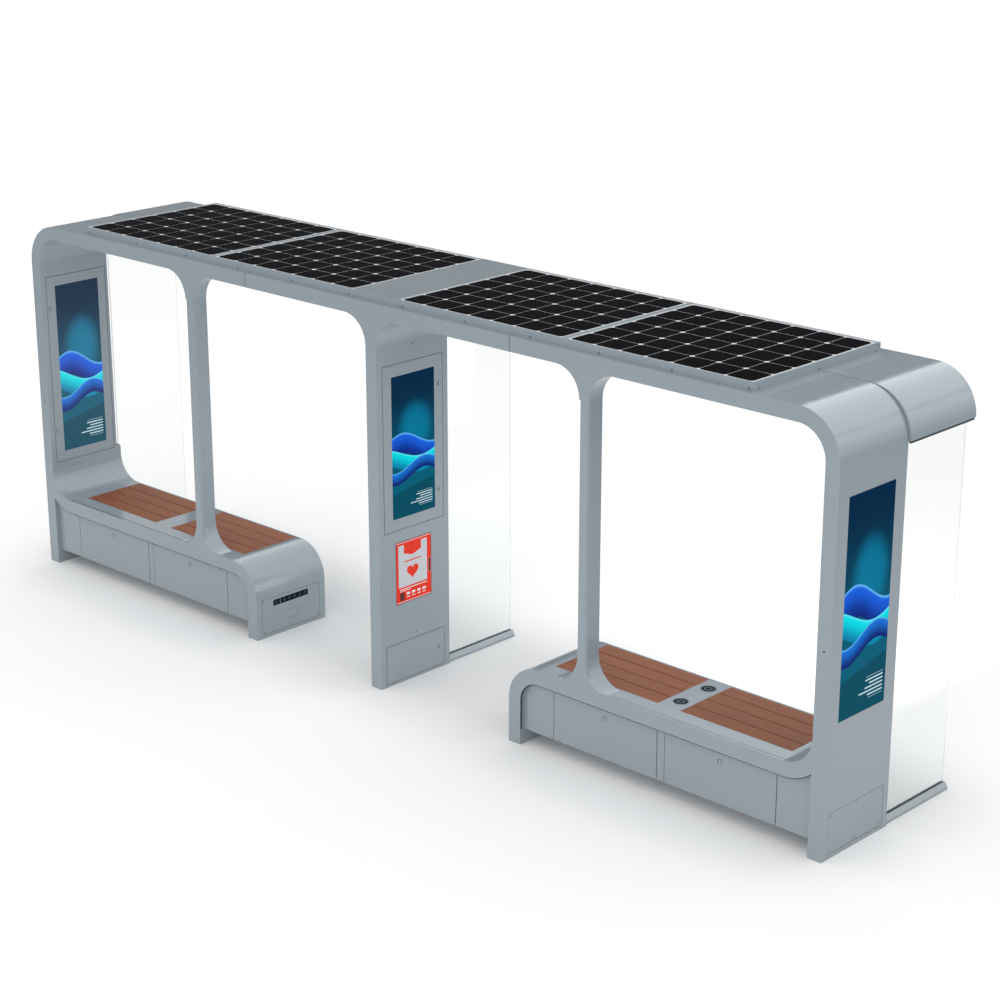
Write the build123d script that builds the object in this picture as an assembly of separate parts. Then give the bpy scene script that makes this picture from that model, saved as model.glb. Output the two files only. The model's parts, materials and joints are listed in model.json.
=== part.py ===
from build123d import *
import os

os.makedirs("parts", exist_ok=True)

# Overall envelope of the shelter; x runs along it, y from the front face to the rear, z up from the ground
shelter_length = 6000
frame_depth = 530
roof_rear = 1070
rail_end = 1080
roof_top = 2180

# Box-section ribbon that forms the walls, the roof band and the benches
ribbon = 80
inner_radius = 160
seam = 0.8
overcut = 1

# Roof modules and the rear hood
module_joint_x = 1000
hood_side_proud = 15
hood_radius = 235

# Posts in front of the benches, placed from the free end of the bench
post_from_bench_end = 495
post_width = 64
post_depth = 100
post_flare_radius = 155
post_chamfer = 10
flare_tip = 12

# Benches
bench_end_x = 1000
seat_height = 450
bench_outer_radius = 200
curve_tip_width = 4
curve_tip_height = 40
seat_front_margin = 111
slat_field_depth = 407
slat_free_end_margin = 226
slat_wall_margin = 191
pad_band_width = 142
slat_thickness = 24
slats_per_field = 4
slat_gap = 6
slat_side_gap = 1.5

# Chargers let into the metal band of the bench
pad_diameter = 80
pad_thickness = 10
pad_spacing = 218
pad_front_y = 205
pad_play = 0.3

# Storage box under each bench
box_setback = 28
box_floor_gap = 85
box_rear = 500
box_wall = 15
bin_end_panel = 213
bin_post_width = 54
bin_door_thickness = 18
bin_hinge_height = 10
bin_hinge_inset = 6
bin_door_head_gap = 6
bin_leaf_clearance = 9
box_curve_play = 0.3

# Running clearance round every door, and the pivot pins they turn on
door_gap = 5
hinge_side_gap = 6
pin_radius = 4
pin_clearance = 0.3
pin_engagement = 8
pin_end_play = 1
hinge_inset = 20
hinge_depth = 5

# Display doors on the inner faces of the walls and on the pillar
display_door_thickness = 22
cabinet_depth = 56
leaf_skin = 4
leaf_rim = 30
wall_door_y = (37, 477.5)
wall_door_sill = 660
wall_door_head_gap = 102
wall_screen_side_margins = (63, 55.5)
wall_screen_end_margins = (61, 60)
wall_lock_share = (0.171, 0.833)
wall_lock_inset = 22
pillar_door_y = (43.6, 489)
pillar_door_sill = 897
pillar_door_head_gap = 114
pillar_screen_side_margins = (62.4, 62.5)
pillar_screen_end_margins = (64, 66)
pillar_lock_share = (0.175, 0.82)
pillar_lock_inset = 27
screen_glass = 4
screen_play = 0.4

# Rebate in the inner rear corner of each end wall, beside the glass
rebate_width = 35
rebate_depth = 40
rebate_above_sill = 5

# Fixed screens let into the outer faces
fixed_screen_y = (83, 447)
fixed_screen_sill = 687
fixed_screen_head_gap = 157.5

# First aid cabinet door and service door of the pillar
aed_door_y = (125, 390)
aed_door_z = (466, 820)
service_door_y = (44.6, 488.4)
service_door_z = (18.4, 235)
service_lock_share = 0.49
service_lock_inset = 38
small_door_thickness = 14
pull_width = 16
pull_height = 80
pull_depth = 6
pull_edge_distance = 3
pull_drop = 182

# Screwed covers on the wall outer faces and on the bench ends
wall_cover_y = (43, 489)
wall_cover_z = (24.6, 234.5)
bench_cover_y = (41, 486)
bench_cover_z = (23, 236)
cover_thickness = 3
cover_play = 2

# Black status strip and bare label place in each bench end cover
strip_y = (128, 397)
strip_z = (182, 218)
strip_corner = 8
strip_thickness = 2
strip_play = 0.4
label_y = (206, 318)
label_z = (72, 127)
label_depth = 0.8

# Cam locks
lock_radius = 11
lock_proud = 3
lock_length = 8.5
bin_lock_drop = 56

# Glass panels and the floor rails that hold them
glass_thickness = 12
glass_bite = 18
glass_head_bite = 12
glass_play = 0.3
glass_front_gap = 12
rail_width = 62
rail_height = 38
rail_side_height = 14
rail_top_width = 26

# Solar trays on the roof
tray_front_margin = 40
tray_rear_margin = 35
tray_end_margin = 518
tray_inner_x = 165
tray_height = 40
tray_skin = 3
panel_thickness = 7
panel_recess = 1.5
panel_joint_width = 16
panel_play = 0.5

# Values that follow from the ones above
half_length = shelter_length / 2
wall_inner_x = half_length - ribbon
wall_mid_x = half_length - ribbon / 2
outer_radius = inner_radius + ribbon
roof_underside = roof_top - ribbon
corner_x = wall_inner_x - inner_radius
corner_z = roof_underside - inner_radius
seat_underside = seat_height - ribbon
curve_z = seat_height + inner_radius
bench_inner_radius = bench_outer_radius - ribbon
bench_foot_inner_x = bench_end_x + ribbon
post_center_x = bench_end_x + post_from_bench_end
slat_span = (bench_end_x + slat_free_end_margin, wall_inner_x - slat_wall_margin)
slat_field_length = (slat_span[1] - slat_span[0] - pad_band_width) / 2
pad_x = (slat_span[0] + slat_span[1]) / 2
bin_span = (bench_foot_inner_x + bin_end_panel, wall_inner_x - bin_end_panel)
bin_door_width = (bin_span[1] - bin_span[0] - bin_post_width) / 2
bin_door_z = (box_floor_gap, seat_underside - bin_door_head_gap)
bin_front_zone = box_setback + bin_door_thickness + bin_leaf_clearance
hood_front = frame_depth + seam
hood_skirt_z = roof_top - hood_radius
tray_y = (tray_front_margin, roof_rear - tray_rear_margin)
tray_end_x = half_length - tray_end_margin
tray_top = roof_top + tray_height
panel_top = tray_top - panel_recess
pillar_face = ribbon / 2
wall_door_z = (wall_door_sill, corner_z - wall_door_head_gap)
pillar_door_z = (pillar_door_sill, corner_z - pillar_door_head_gap)
fixed_screen_z = (fixed_screen_sill, corner_z - fixed_screen_head_gap)
glass_y = (frame_depth + glass_front_gap, roof_rear)


def block(x, y, z):
    """Box between the low and high values of each pair."""
    size = (x[1] - x[0], y[1] - y[0], z[1] - z[0])
    middle = ((x[0] + x[1]) / 2, (y[0] + y[1]) / 2, (z[0] + z[1]) / 2)
    return Pos(*middle) * Box(*size)


def grown(span, low, high=None):
    """A pair of limits moved outwards by low and high."""
    return (span[0] - low, span[1] + (low if high is None else high))


def inside(span, margins):
    """A pair of limits moved inwards by two margins."""
    return (span[0] + margins[0], span[1] - margins[1])


def share(span, part):
    """The place that lies that share of the way along a span."""
    return span[0] + part * (span[1] - span[0])


def into(face_x, inward, near, far):
    """The x limits from near to far behind a face, which looks away from inward."""
    return sorted((face_x + inward * near, face_x + inward * far))


def rect(x, z):
    """Flat rectangle in the x, z drawing plane."""
    middle = ((x[0] + x[1]) / 2, (z[0] + z[1]) / 2)
    return Pos(*middle) * Rectangle(x[1] - x[0], z[1] - z[0])


def disc(x, z, radius):
    return Pos(x, z) * Circle(radius)


def through(sketch, y0, y1):
    """Extrude a drawing made in x and z from y0 back to y1."""
    return extrude(Plane.XZ.offset(-y0) * sketch, amount=-(y1 - y0))


def mirrored(shape):
    return mirror(shape, about=Plane.YZ)


def save(shape, name):
    """Write one piece, moved so that the middle of the footprint is the origin."""
    shape.label = name
    export_step(Pos(0, -rail_end / 2, 0) * shape, f"parts/{name}.step")


def save_pair(shape, name):
    save(shape, "right_" + name)
    save(mirrored(shape), "left_" + name)


def save_both(shape, name, *others):
    """Write a right piece, its left mirror image and any others as one node."""
    save(Compound(children=[shape, mirrored(shape), *others]), name)


def vertical_pin(x, y, z0, z1, radius):
    return Pos(x, y, (z0 + z1) / 2) * Cylinder(radius, z1 - z0)


def lengthwise_pin(x0, x1, y, z, radius):
    return Pos((x0 + x1) / 2, y, z) * Rot(0, 90, 0) * Cylinder(radius, x1 - x0)


def door_leaf(face_x, inward, y, z, thickness, front, hinge_at_rear):
    """A tray-shaped door flush with face_x that turns on pivot pins, and its cut-out in the wall.

    inward is +1 or -1, the direction from the face into the wall, and front is how thick
    the door is inside its folded rim.
    """
    leaf = block(into(face_x, inward, 0, thickness), y, z)
    leaf -= block(into(face_x, inward, front, thickness + overcut), grown(y, -leaf_rim), grown(z, -leaf_rim))
    axis_x = face_x + inward * hinge_depth
    axis_y = y[1] - hinge_inset if hinge_at_rear else y[0] + hinge_inset
    reach = door_gap + pin_engagement
    leaf += vertical_pin(axis_x, axis_y, z[0] - reach, z[1] + reach, pin_radius)
    sides = (door_gap, hinge_side_gap) if hinge_at_rear else (hinge_side_gap, door_gap)
    recess = block(into(face_x, inward, 0, cabinet_depth), grown(y, *sides), grown(z, door_gap))
    hole = reach + pin_end_play
    recess += vertical_pin(axis_x, axis_y, z[0] - hole, z[1] + hole, pin_radius + pin_clearance)
    return leaf, recess


def lock(face_x, outward, y, z):
    """Cam lock barrel standing a little proud of a door face."""
    middle_x = face_x + outward * (lock_proud - lock_length / 2)
    return Pos(middle_x, y, z) * Rot(0, 90, 0) * Cylinder(lock_radius, lock_length)


def with_screen(leaf, face_x, inward, y, z):
    """Let a glass screen into a door face and return both."""
    depth = into(face_x, inward, 0, screen_glass)
    return leaf - block(depth, grown(y, screen_play), grown(z, screen_play)), block(depth, y, z)


def flared_post(center_x, half_width, radius, z0, z1, flare_foot):
    """Post drawing whose ends widen by quarter circles into what they meet."""
    reach = half_width + radius
    edge = reach - flare_tip
    drawing = rect((center_x - edge, center_x + edge), (z0, z1))
    low = z0 + radius if flare_foot else z0
    for side in (-1, 1):
        outside = sorted((center_x + side * half_width, center_x + side * reach))
        drawing -= rect(outside, (low, z1 - radius))
        drawing -= disc(center_x + side * reach, z1 - radius, radius)
        if flare_foot:
            drawing -= disc(center_x + side * reach, z0 + radius, radius)
    return drawing


def quarter_ring(x, z, outer, inner):
    """Ring around x, z, to be trimmed to one quarter."""
    return disc(x, z, outer) - disc(x, z, inner)


def end_wall():
    """Right end wall, its display door and screen, its outer screen and its screwed cover."""
    wall = block((wall_inner_x, half_length), (0, frame_depth), (0, corner_z))
    wall -= block(
        (wall_inner_x, wall_inner_x + rebate_depth),
        (frame_depth - rebate_width, frame_depth),
        (wall_door_sill + rebate_above_sill, corner_z),
    )
    front = screen_glass + leaf_skin
    leaf, recess = door_leaf(wall_inner_x, 1, wall_door_y, wall_door_z, display_door_thickness, front, True)
    wall -= recess
    screen_y = inside(wall_door_y, wall_screen_side_margins)
    screen_z = inside(wall_door_z, wall_screen_end_margins)
    leaf, screen = with_screen(leaf, wall_inner_x, 1, screen_y, screen_z)
    for part in wall_lock_share:
        leaf += lock(wall_inner_x, -1, wall_door_y[0] + wall_lock_inset, share(wall_door_z, part))
    wall, fixed_screen = with_screen(wall, half_length, -1, fixed_screen_y, fixed_screen_z)
    cover_x = into(half_length, -1, 0, cover_thickness)
    wall -= block(cover_x, grown(wall_cover_y, cover_play), grown(wall_cover_z, cover_play))
    return wall, leaf, screen, fixed_screen, block(cover_x, wall_cover_y, wall_cover_z)


def pillar():
    """Pillar with three doors on its right face and a screen in its left face."""
    column = block((-pillar_face, pillar_face), (0, frame_depth), (0, corner_z))
    front = screen_glass + leaf_skin
    display, recess = door_leaf(
        pillar_face, -1, pillar_door_y, pillar_door_z, display_door_thickness, front, False
    )
    column -= recess
    screen_y = inside(pillar_door_y, pillar_screen_side_margins)
    screen_z = inside(pillar_door_z, pillar_screen_end_margins)
    display, screen = with_screen(display, pillar_face, -1, screen_y, screen_z)
    for part in pillar_lock_share:
        display += lock(pillar_face, 1, pillar_door_y[1] - pillar_lock_inset, share(pillar_door_z, part))
    first_aid, recess = door_leaf(
        pillar_face, -1, aed_door_y, aed_door_z, small_door_thickness, pull_depth + leaf_skin, False
    )
    column -= recess
    pull_z = aed_door_z[1] - pull_drop
    first_aid -= block(
        into(pillar_face, -1, 0, pull_depth),
        (aed_door_y[1] - pull_edge_distance - pull_width, aed_door_y[1] - pull_edge_distance),
        (pull_z - pull_height / 2, pull_z + pull_height / 2),
    )
    service, recess = door_leaf(
        pillar_face, -1, service_door_y, service_door_z, small_door_thickness, leaf_skin, False
    )
    column -= recess
    service += lock(
        pillar_face, 1, service_door_y[1] - service_lock_inset, share(service_door_z, service_lock_share)
    )
    column, rear_screen = with_screen(column, -pillar_face, 1, fixed_screen_y, screen_z)
    doors = {"center_display_door": display, "first_aid_door": first_aid, "service_door": service}
    return column, doors, screen, rear_screen


def front_roof_end():
    """Roof band of the right module with the rounded corner down to the wall."""
    corner = rect((corner_x, half_length), (corner_z, roof_top))
    corner &= quarter_ring(corner_x, corner_z, outer_radius, inner_radius)
    band = rect((module_joint_x + seam / 2, corner_x), (roof_underside, roof_top))
    return through(corner + band, 0, frame_depth)


def front_roof_center():
    inner = module_joint_x - seam / 2
    return through(rect((-inner, inner), (roof_underside, roof_top)), 0, frame_depth)


def hood_end():
    """Rear hood of the right module, a little proud of the wall at its side."""
    arc_x = half_length + hood_side_proud - hood_radius
    outline = rect((module_joint_x + seam / 2, arc_x), (roof_underside, roof_top))
    side = rect((arc_x, half_length + hood_side_proud), (hood_skirt_z, roof_top))
    outline += side & disc(arc_x, hood_skirt_z, hood_radius)
    hollow = rect((corner_x, wall_inner_x), (hood_skirt_z, roof_underside))
    outline -= hollow & disc(corner_x, corner_z, inner_radius)
    return through(outline, hood_front, roof_rear) - glass_slot(wall_mid_x, hood_skirt_z)


def hood_center():
    inner = module_joint_x - seam / 2
    hood = through(rect((-inner, inner), (roof_underside, roof_top)), hood_front, roof_rear)
    return hood - glass_slot(0, roof_underside)


def glass_slot(x, underside):
    """Slot in the underside of a hood that takes the upper edge of a glass panel."""
    half = glass_thickness / 2 + glass_play
    slot_y = (glass_y[0] - glass_play, glass_y[1] + overcut)
    slot_z = (underside - overcut, underside + glass_head_bite + glass_play)
    return block((x - half, x + half), slot_y, slot_z)


def post():
    drawing = flared_post(
        post_center_x, post_width / 2, post_flare_radius, seat_height, roof_underside, True
    )
    shape = through(drawing, 0, post_depth)
    for side in (-1, 1):
        shape -= post_edge_cut(side)
        shape -= foot_edge_cut(side)
    return shape


def post_edge_cut(side):
    """What the chamfer takes off the straight front edge of a post."""
    edge_x = post_center_x + side * post_width / 2
    inner_x = edge_x - side * post_chamfer
    outer_x = edge_x + side * overcut
    corner = Polyline(
        (inner_x, 0), (edge_x, post_chamfer), (outer_x, post_chamfer), (outer_x, -overcut), (inner_x, -overcut),
        (inner_x, 0),
    )
    straight = (seat_height + post_flare_radius, roof_underside - post_flare_radius)
    return extrude(Plane.XY.offset(straight[0]) * make_face(corner), amount=straight[1] - straight[0])


def foot_edge_cut(side):
    """What the chamfer takes off the front edge of a post's flared foot."""
    edge_x = post_center_x + side * post_width / 2
    flare_x = edge_x + side * post_flare_radius
    flare_z = seat_height + post_flare_radius
    cone = Cone(post_flare_radius, post_flare_radius + post_chamfer, post_chamfer)
    cone = Pos(flare_x, post_chamfer / 2, flare_z) * Rot(90, 0, 0) * cone
    reach = sorted((edge_x - side * post_chamfer, flare_x))
    return cone & block(reach, (-overcut, post_depth), (seat_height - overcut, flare_z))


def pillar_head():
    drawing = flared_post(0, pillar_face, inner_radius, corner_z, roof_underside, False)
    return through(drawing, 0, frame_depth)


def slat_fields():
    """Low and high x of each slat field of the right bench."""
    return (
        (slat_span[0], slat_span[0] + slat_field_length),
        (slat_span[1] - slat_field_length, slat_span[1]),
    )


def inner_corner(drawing):
    """The upper corner of a drawing on the side of the bench's free end."""
    return drawing.vertices().sort_by(Axis.Y)[-2:].sort_by(Axis.X)[0]


def bench_frame(with_chargers):
    """Foot, seat and upward curve of the right bench as one bent ribbon."""
    outer = rect((bench_end_x, corner_x), (0, seat_height))
    outer = fillet(inner_corner(outer), bench_outer_radius)
    inner = rect((bench_foot_inner_x, corner_x + overcut), (-overcut, seat_underside))
    inner = fillet(inner_corner(inner), bench_inner_radius)
    curve = rect((corner_x, wall_inner_x), (seat_underside, curve_z))
    curve &= quarter_ring(corner_x, curve_z, outer_radius, inner_radius)
    curve -= rect((wall_inner_x - curve_tip_width, wall_inner_x), (curve_z - curve_tip_height, curve_z))
    bench = through(outer - inner + curve, 0, frame_depth)
    field_y = (seat_front_margin, seat_front_margin + slat_field_depth)
    for x in slat_fields():
        bench -= block(x, field_y, (seat_height - slat_thickness, seat_height + overcut))
    if with_chargers:
        for y in pad_places_y():
            bench -= Pos(pad_x, y, seat_height) * Cylinder(pad_diameter / 2 + pad_play, 2 * pad_thickness)
    cover_x = (bench_end_x, bench_end_x + cover_thickness)
    bench -= block(cover_x, grown(bench_cover_y, cover_play), grown(bench_cover_z, cover_play))
    return bench


def pad_places_y():
    return (pad_front_y, pad_front_y + pad_spacing)


def bench_slats():
    pitch = (slat_field_depth - 2 * slat_side_gap + slat_gap) / slats_per_field
    slats = []
    for x in slat_fields():
        for i in range(slats_per_field):
            y = seat_front_margin + slat_side_gap + i * pitch
            slat_y = (y, y + pitch - slat_gap)
            slats.append(block(grown(x, -slat_side_gap), slat_y, (seat_height - slat_thickness, seat_height)))
    return Compound(children=slats)


def charger_pads():
    pad = Cylinder(pad_diameter / 2, pad_thickness)
    z = seat_height - pad_thickness / 2
    return Compound(children=[Pos(pad_x, y, z) * pad for y in pad_places_y()])


def bin_doors_x():
    """Low and high x of the two bin doors of the right bench."""
    return {
        "inner": (bin_span[0], bin_span[0] + bin_door_width),
        "outer": (bin_span[1] - bin_door_width, bin_span[1]),
    }


def bin_door(x):
    """Drop-front door, folded to a tray, that turns on two pins near its lower edge."""
    back_y = box_setback + bin_door_thickness
    leaf = block(x, (box_setback, back_y), bin_door_z)
    leaf -= block(
        grown(x, -leaf_rim), (box_setback + leaf_skin, back_y + overcut), grown(bin_door_z, -leaf_rim)
    )
    reach = door_gap + pin_engagement
    axis_y = box_setback + bin_hinge_inset
    axis_z = bin_door_z[0] + bin_hinge_height
    leaf += lengthwise_pin(x[0] - reach, x[1] + reach, axis_y, axis_z, pin_radius)
    lock_y = box_setback - lock_proud + lock_length / 2
    barrel = Rot(90, 0, 0) * Cylinder(lock_radius, lock_length)
    return leaf + Pos(share(x, 0.5), lock_y, bin_door_z[1] - bin_lock_drop) * barrel


def storage_box():
    """Box under the right bench with two bins behind drop-front doors."""
    outline = rect((bench_foot_inner_x, corner_x), (box_floor_gap, seat_underside))
    outline = fillet(inner_corner(outline), bench_inner_radius + box_curve_play)
    rise = rect((corner_x, wall_inner_x), (box_floor_gap, seat_height))
    outline += rise - disc(corner_x, curve_z, outer_radius + box_curve_play)
    carcass = through(outline, box_setback, box_rear)
    hole = door_gap + pin_engagement + pin_end_play
    for x in bin_doors_x().values():
        carcass -= block(
            grown(x, door_gap), (box_setback, bin_front_zone),
            (box_floor_gap - overcut, seat_underside + overcut),
        )
        carcass -= block(
            grown(x, door_gap - box_wall), (bin_front_zone - overcut, box_rear - box_wall),
            (box_floor_gap + box_wall, seat_underside - box_wall),
        )
        carcass -= lengthwise_pin(
            x[0] - hole, x[1] + hole, box_setback + bin_hinge_inset,
            bin_door_z[0] + bin_hinge_height, pin_radius + pin_clearance,
        )
    return carcass


def floor_rail(x):
    """Low rail with sloping shoulders and a slot for the glass."""
    half = rail_width / 2
    top = rail_top_width / 2
    side = Polyline(
        (x - half, 0), (x - half, rail_side_height), (x - top, rail_height), (x + top, rail_height),
        (x + half, rail_side_height), (x + half, 0), (x - half, 0),
    )
    slot_half = glass_thickness / 2 + glass_play
    slot = rect((x - slot_half, x + slot_half), (rail_height - glass_bite, rail_height + overcut))
    return through(make_face(side) - slot, frame_depth, rail_end)


def glass_panel(x, underside):
    """Glass from the slot in the floor rail up into the slot in the hood's underside."""
    half = glass_thickness / 2
    return block((x - half, x + half), glass_y, (rail_height - glass_bite, underside + glass_head_bite))


def panel_spans():
    """Low and high x of the two solar panels in the right tray."""
    low = tray_inner_x + seam / 2 + tray_skin + panel_play
    high = tray_end_x - tray_skin - panel_play
    half_joint = panel_joint_width / 2 + panel_play
    middle = (low + high) / 2
    return ((low, middle - half_joint), (middle + half_joint, high))


def solar_tray():
    """Low tray of the right side with a joint bar between its two panels."""
    tray = block((tray_inner_x + seam / 2, tray_end_x), tray_y, (roof_top, tray_top))
    for x in panel_spans():
        tray -= block(
            grown(x, panel_play), grown(tray_y, -tray_skin), (panel_top - panel_thickness, tray_top + overcut)
        )
    return tray


def solar_panels():
    y = grown(tray_y, -tray_skin - panel_play)
    return Compound(children=[block(x, y, (panel_top - panel_thickness, panel_top)) for x in panel_spans()])


def tray_cover():
    inner = tray_inner_x - seam / 2
    return block((-inner, inner), tray_y, (roof_top, tray_top))


def rounded_plate(x0, x1, y, z, corner):
    """Plate between two x values with rounded corners in y and z."""
    plate = block((x0, x1), y, z)
    return fillet(plate.edges().filter_by(Axis.X), corner)


def bench_end_cover():
    """Cover on the bench's free end, with its black status strip."""
    face = bench_end_x
    cover = block((face, face + cover_thickness), bench_cover_y, bench_cover_z)
    recess_y = grown(strip_y, strip_play)
    recess_z = grown(strip_z, strip_play)
    cover -= rounded_plate(face, face + strip_thickness, recess_y, recess_z, strip_corner + strip_play)
    cover -= rounded_plate(face, face + label_depth, label_y, label_z, strip_corner)
    return cover, rounded_plate(face, face + strip_thickness, strip_y, strip_z, strip_corner)


wall, wall_door, wall_screen, fixed_screen, wall_cover = end_wall()
column, pillar_doors, pillar_screen, rear_screen = pillar()
save_pair(wall, "wall")
save_pair(wall_door, "display_door")
save_pair(wall_screen, "display_screen")
save_both(fixed_screen, "outer_screens", rear_screen)
save_both(wall_cover, "wall_covers")
save(column, "center_pillar")
save(pillar_head(), "center_pillar_head")
save(pillar_screen, "center_display_screen")
for door_name, door in pillar_doors.items():
    save(door, door_name)

save_pair(front_roof_end(), "roof")
save(front_roof_center(), "center_roof")
save_pair(hood_end(), "hood")
save(hood_center(), "center_hood")
save_pair(post(), "post")

save(bench_frame(True), "right_bench_frame")
save(mirrored(bench_frame(False)), "left_bench_frame")
save_pair(bench_slats(), "bench_slats")
save(charger_pads(), "right_charger_pads")
save_pair(storage_box(), "storage_box")
for place, span in bin_doors_x().items():
    save_pair(bin_door(span), f"{place}_bin_door")
end_cover, status_strip = bench_end_cover()
save_both(end_cover, "bench_end_covers")
save_both(status_strip, "bench_status_strips")

save_both(floor_rail(wall_mid_x), "floor_rails", floor_rail(0))
save_both(glass_panel(wall_mid_x, hood_skirt_z), "glass_panels", glass_panel(0, roof_underside))
save_pair(solar_tray(), "solar_tray")
save_pair(solar_panels(), "solar_panels")
save(tray_cover(), "tray_cover")
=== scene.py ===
import json
import math
import bmesh
import bpy
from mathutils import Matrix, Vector

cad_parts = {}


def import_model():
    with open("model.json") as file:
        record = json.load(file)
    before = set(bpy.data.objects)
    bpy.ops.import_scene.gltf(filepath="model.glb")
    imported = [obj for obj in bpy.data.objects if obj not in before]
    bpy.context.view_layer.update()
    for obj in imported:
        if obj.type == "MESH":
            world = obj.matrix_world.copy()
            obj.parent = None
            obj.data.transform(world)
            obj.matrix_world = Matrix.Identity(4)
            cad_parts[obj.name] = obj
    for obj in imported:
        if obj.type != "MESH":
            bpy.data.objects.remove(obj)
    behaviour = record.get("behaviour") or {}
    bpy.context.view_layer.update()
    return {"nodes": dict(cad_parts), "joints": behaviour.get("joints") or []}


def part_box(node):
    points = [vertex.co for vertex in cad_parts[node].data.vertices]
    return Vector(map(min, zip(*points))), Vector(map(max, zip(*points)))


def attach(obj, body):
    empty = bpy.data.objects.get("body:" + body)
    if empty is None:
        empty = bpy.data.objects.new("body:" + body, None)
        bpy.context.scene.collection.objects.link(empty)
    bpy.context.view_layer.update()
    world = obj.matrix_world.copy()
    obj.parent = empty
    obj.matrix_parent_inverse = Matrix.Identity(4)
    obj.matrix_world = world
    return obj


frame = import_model()
nodes = frame["nodes"]
scene = bpy.context.scene

MM = 0.001


def mm(*values):
    """Millimetres as metres."""
    return tuple(value * MM for value in values)


def grown(span, by):
    """A pair of limits moved outwards."""
    return (span[0] - by, span[1] + by)


def share(span, part):
    return span[0] + part * (span[1] - span[0])


# Planes and edges of the shelter, read from the frame
wall_low, wall_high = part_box("right_wall")
pillar_low, pillar_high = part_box("center_pillar")
tray_low, tray_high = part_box("right_solar_tray")
slats_low, slats_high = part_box("right_bench_slats")
pads_low, pads_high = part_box("right_charger_pads")
hood_low, hood_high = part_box("right_hood")
glass_low, glass_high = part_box("glass_panels")
FRONT = pillar_low.y
WALL_FACE = wall_low.x
END_FACE = wall_high.x
WALL_MIDDLE = (WALL_FACE + END_FACE) / 2
PILLAR_FACE = pillar_high.x
BENCH_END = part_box("right_bench_frame")[0].x
MODULE_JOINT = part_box("center_roof")[1].x
SEAT = slats_high.z
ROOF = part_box("right_roof")[1].z
RAIL_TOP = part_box("floor_rails")[1].z

# Sizes of the shelter in metres, the same as in the solids
FRAME_DEPTH = 530 * MM
RIBBON = 80 * MM
INNER_RADIUS = 160 * MM
OUTER_RADIUS = INNER_RADIUS + RIBBON
BENCH_RADIUS = 200 * MM
BOX_SETBACK = 28 * MM
BOX_FLOOR_GAP = 85 * MM
PIN_REACH = 13 * MM
DOOR_GAP = 5 * MM
BOARDS = 4
BOARD_GAP = 6 * MM
PAD_BAND = 142 * MM
SIDES = (("left", -1), ("right", 1))

# Centres of the ribbon's curves, over the seat's end and under the roof's end
CORNER_X = WALL_FACE - INNER_RADIUS
SEAT_CURVE_Z = SEAT + INNER_RADIUS
ROOF_CURVE_Z = ROOF - OUTER_RADIUS


# Shader helpers

def new_material(name):
    """A material with an empty Principled shader, its node tree and that shader."""
    material = bpy.data.materials.new(name)
    material.use_nodes = True
    tree = material.node_tree
    return material, tree, tree.nodes["Principled BSDF"]


def add(tree, kind, inputs=None, **settings):
    """Add a shader node. Sockets given as inputs are linked, and plain values are set."""
    made = tree.nodes.new("ShaderNode" + kind)
    for name, value in settings.items():
        setattr(made, name, value)
    for name, value in (inputs or {}).items():
        feed(tree, made.inputs[name], value)
    return made


def feed(tree, socket, value):
    if isinstance(value, bpy.types.NodeSocket):
        tree.links.new(value, socket)
    else:
        socket.default_value = value


def maths(tree, operation, *values):
    made = tree.nodes.new("ShaderNodeMath")
    made.operation = operation
    for socket, value in zip(made.inputs, values):
        feed(tree, socket, value)
    return made.outputs[0]


def length_of(tree, first, second):
    """Length of the hypotenuse over two values."""
    squares = [maths(tree, "POWER", value, 2.0) for value in (first, second)]
    return maths(tree, "SQRT", maths(tree, "ADD", squares[0], squares[1]))


def apart(tree, value, place):
    """How far a value is from a place, on either side."""
    return maths(tree, "ABSOLUTE", maths(tree, "SUBTRACT", value, place))


def object_point(tree):
    return add(tree, "TexCoord").outputs["Object"]


def split(tree, vector):
    return add(tree, "SeparateXYZ", {"Vector": vector}).outputs


def noise(tree, scale, detail=2.0, vector=None, stretch=(1, 1, 1)):
    point = vector or object_point(tree)
    mapped = add(tree, "Mapping", {"Vector": point, "Scale": stretch}).outputs["Vector"]
    return add(tree, "TexNoise", {"Vector": mapped, "Scale": scale, "Detail": detail}).outputs["Fac"]


def ranged(tree, value, low, high, new_low, new_high, smooth=False):
    kind = "SMOOTHSTEP" if smooth else "LINEAR"
    inputs = {"Value": value, "From Min": low, "From Max": high, "To Min": new_low, "To Max": new_high}
    return add(tree, "MapRange", inputs, interpolation_type=kind).outputs["Result"]


def blend(tree, factor, first, second):
    """A colour between two others."""
    made = tree.nodes.new("ShaderNodeMix")
    made.data_type = "RGBA"
    feed(tree, made.inputs["Factor"], factor)
    for name, value in (("A", first), ("B", second)):
        socket = [s for s in made.inputs if s.name == name and s.type == "RGBA"][0]
        feed(tree, socket, value)
    return [s for s in made.outputs if s.type == "RGBA"][0]


def linear(red, green, blue):
    """A colour given as a screen shows it, from 0 to 255, in the renderer's linear values."""
    def value(c):
        c = c / 255
        return c / 12.92 if c <= 0.04045 else ((c + 0.055) / 1.055) ** 2.4
    return (value(red), value(green), value(blue), 1.0)


def scaled(color, factor):
    return tuple(min(1.0, c * factor) for c in color[:3]) + (1.0,)


def bump(tree, height, strength, distance):
    return add(tree, "Bump", {"Height": height, "Strength": strength, "Distance": distance}).outputs["Normal"]


def varied(tree, color, scale, amount, detail=3.0):
    """The colour with a soft drift in tone over the surface."""
    drift = noise(tree, scale, detail)
    return blend(tree, drift, scaled(color, 1 - amount), scaled(color, 1 + amount))


def uneven(tree, scale, low, high, detail=2.0):
    """A roughness that wanders between two values."""
    return ranged(tree, noise(tree, scale, detail), 0.3, 0.7, low, high)


# Materials

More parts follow.
